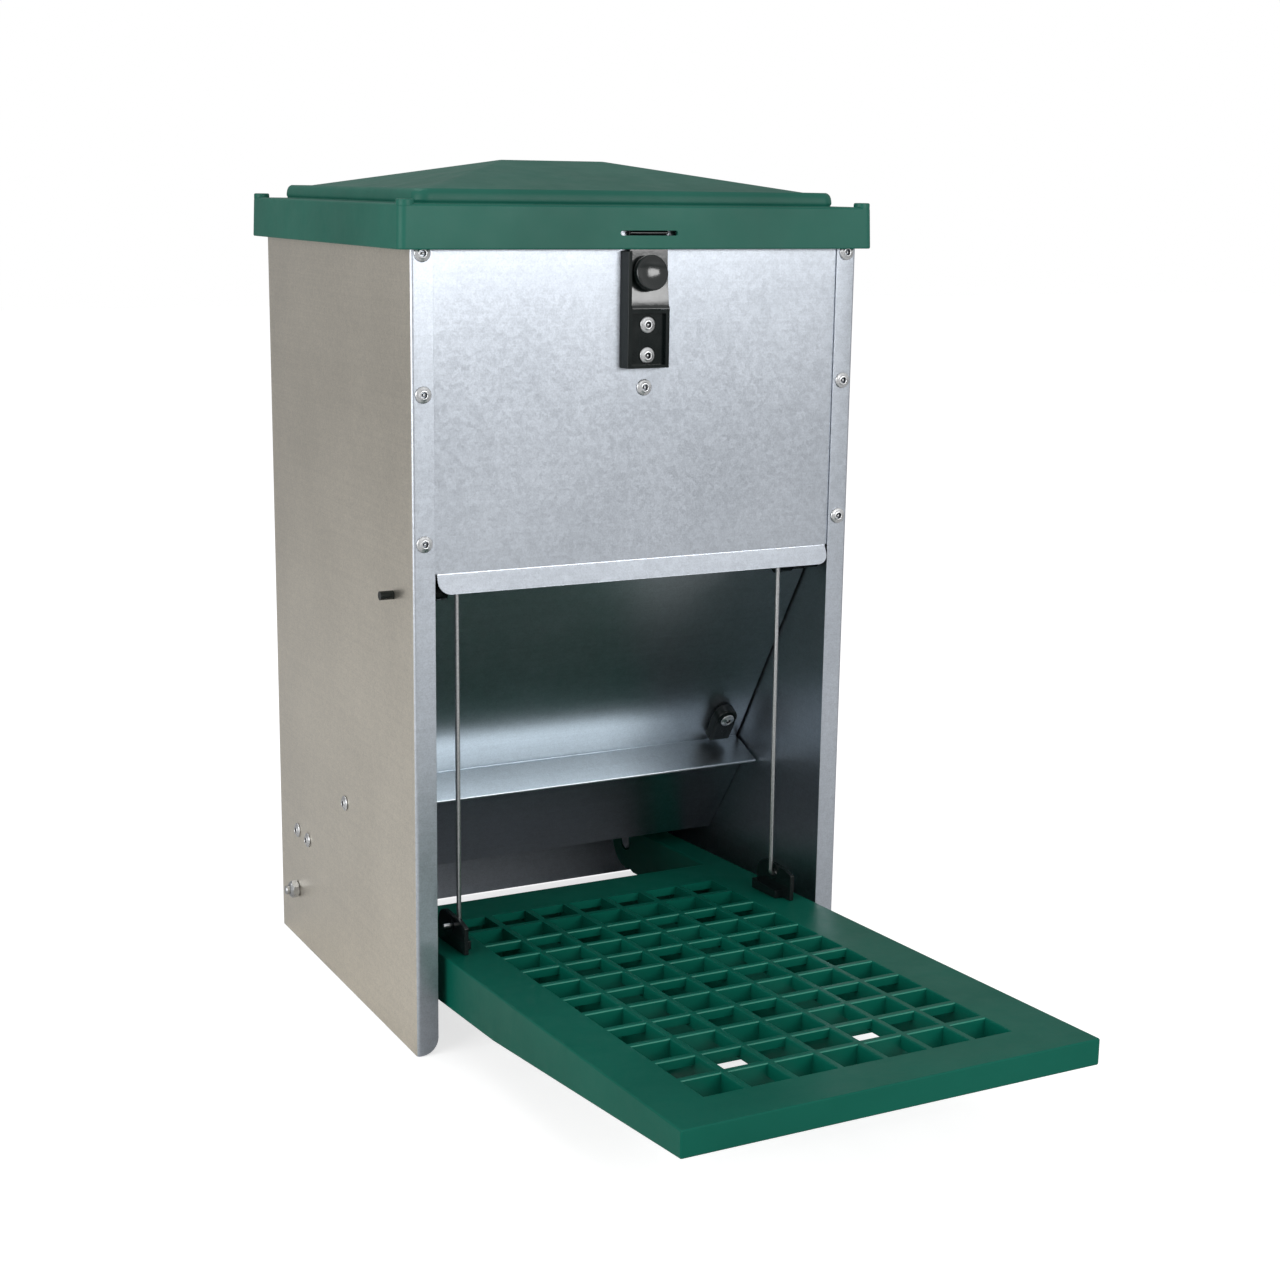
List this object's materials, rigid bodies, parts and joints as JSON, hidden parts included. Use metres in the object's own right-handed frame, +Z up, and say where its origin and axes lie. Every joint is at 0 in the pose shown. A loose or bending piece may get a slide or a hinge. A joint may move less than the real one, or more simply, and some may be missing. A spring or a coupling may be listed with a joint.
{
  "type": "treadle poultry feeder",
  "caption": "Galvanised hopper feeder with a hinged green lid, whose swinging flap opens when a bird steps on the green grid treadle.",
  "frame": {"origin": "centre of the whole feeder's bounding box in X and Y, treadle included, on the floor", "axes": "+Y from the treadle to the back of the hopper, +X to the right seen from the treadle, +Z up"},
  "size_m": [0.301, 0.5466, 0.5123],
  "materials": {
    "galvanised_steel": "galvanised, fine spangle",
    "lid_plastic": "moulded, fine texture",
    "treadle_plastic": "moulded, fine texture",
    "black_plastic": "glossy",
    "rivet_aluminium": "bright",
    "plated_steel": "zinc plated"
  },
  "bodies": {
    "body": {"back_panel": "galvanised_steel", "chute_plate": "galvanised_steel", "front_panel": "galvanised_steel", "hinge_bracket_left": "galvanised_steel", "hinge_bracket_right": "galvanised_steel", "hinge_pin_left": "plated_steel", "hinge_pin_right": "plated_steel", "latch_base": "black_plastic", "pivot_bolt_left": "plated_steel", "pivot_bolt_right": "plated_steel", "pivot_nut_left": "plated_steel", "pivot_nut_right": "plated_steel", "pivot_spacer_left": "black_plastic", "pivot_spacer_right": "black_plastic", "rivet_back_left_1": "rivet_aluminium", "rivet_back_left_2": "rivet_aluminium", "rivet_back_left_3": "rivet_aluminium", "rivet_back_right_1": "rivet_aluminium", "rivet_back_right_2": "rivet_aluminium", "rivet_back_right_3": "rivet_aluminium", "rivet_front_centre": "rivet_aluminium", "rivet_front_left_1": "rivet_aluminium", "rivet_front_left_2": "rivet_aluminium", "rivet_front_left_3": "rivet_aluminium", "rivet_front_right_1": "rivet_aluminium", "rivet_front_right_2": "rivet_aluminium", "rivet_front_right_3": "rivet_aluminium", "rivet_hinge_left": "rivet_aluminium", "rivet_hinge_right": "rivet_aluminium", "rivet_latch_1": "rivet_aluminium", "rivet_latch_2": "rivet_aluminium", "rivet_trough_left_1": "rivet_aluminium", "rivet_trough_left_2": "rivet_aluminium", "rivet_trough_left_3": "rivet_aluminium", "rivet_trough_right_1": "rivet_aluminium", "rivet_trough_right_2": "rivet_aluminium", "rivet_trough_right_3": "rivet_aluminium", "side_panel_left": "galvanised_steel", "side_panel_right": "galvanised_steel", "trough": "galvanised_steel"},
    "lid": {"lid": "lid_plastic"},
    "latch_tongue": {"latch_tongue": "black_plastic", "latch_knob": "black_plastic"},
    "treadle": {"treadle": "treadle_plastic", "rod_clip_left": "black_plastic", "rod_clip_right": "black_plastic"},
    "rod_left": {"link_rod_left": "plated_steel"},
    "rod_right": {"link_rod_right": "plated_steel"},
    "flap": {"flap_plate": "galvanised_steel", "flap_pivot_left": "black_plastic", "flap_pivot_right": "black_plastic", "stop_block_left": "black_plastic", "stop_block_right": "black_plastic", "rivet_stop_left": "rivet_aluminium", "rivet_stop_right": "rivet_aluminium", "rivet_pivot_left": "rivet_aluminium", "rivet_pivot_right": "rivet_aluminium"}
  },
  "joints": [
    {"name": "treadle_hinge", "type": "hinge", "parent": "body", "child": "treadle", "pos_m": [0, 0.22725, 0.035], "axis": [1, 0, 0], "range_deg": [0, 6.4]},
    {"name": "flap_hinge", "type": "hinge", "parent": "body", "child": "flap", "pos_m": [0, 0.04175, 0.269], "axis": [1, 0, 0], "range_deg": [0, 64]},
    {"name": "rod_left_hinge", "type": "hinge", "parent": "treadle", "child": "rod_left", "pos_m": [-0.1072, 0.03045, 0.07], "axis": [1, 0, 0], "range_deg": [-2.75, 0]},
    {"name": "rod_right_hinge", "type": "hinge", "parent": "treadle", "child": "rod_right", "pos_m": [0.1072, 0.03045, 0.07], "axis": [1, 0, 0], "range_deg": [-2.75, 0]},
    {"name": "lid_hinge", "type": "hinge", "parent": "body", "child": "lid", "pos_m": [0, 0.26875, 0.457], "axis": [-1, 0, 0], "range_deg": [0, 100]},
    {"name": "latch_hinge", "type": "hinge", "parent": "body", "child": "latch_tongue", "pos_m": [0, 0.00495, 0.431], "axis": [-1, 0, 0], "range_deg": [0, 2], "stiffness_Nm_per_rad": 2}
  ],
  "couplings": [
    {"joint": "flap_hinge", "follows": "treadle_hinge", "ratio": 9.969},
    {"joint": "rod_left_hinge", "follows": "treadle_hinge", "ratio": -0.4222},
    {"joint": "rod_right_hinge", "follows": "treadle_hinge", "ratio": -0.4222}
  ]
}
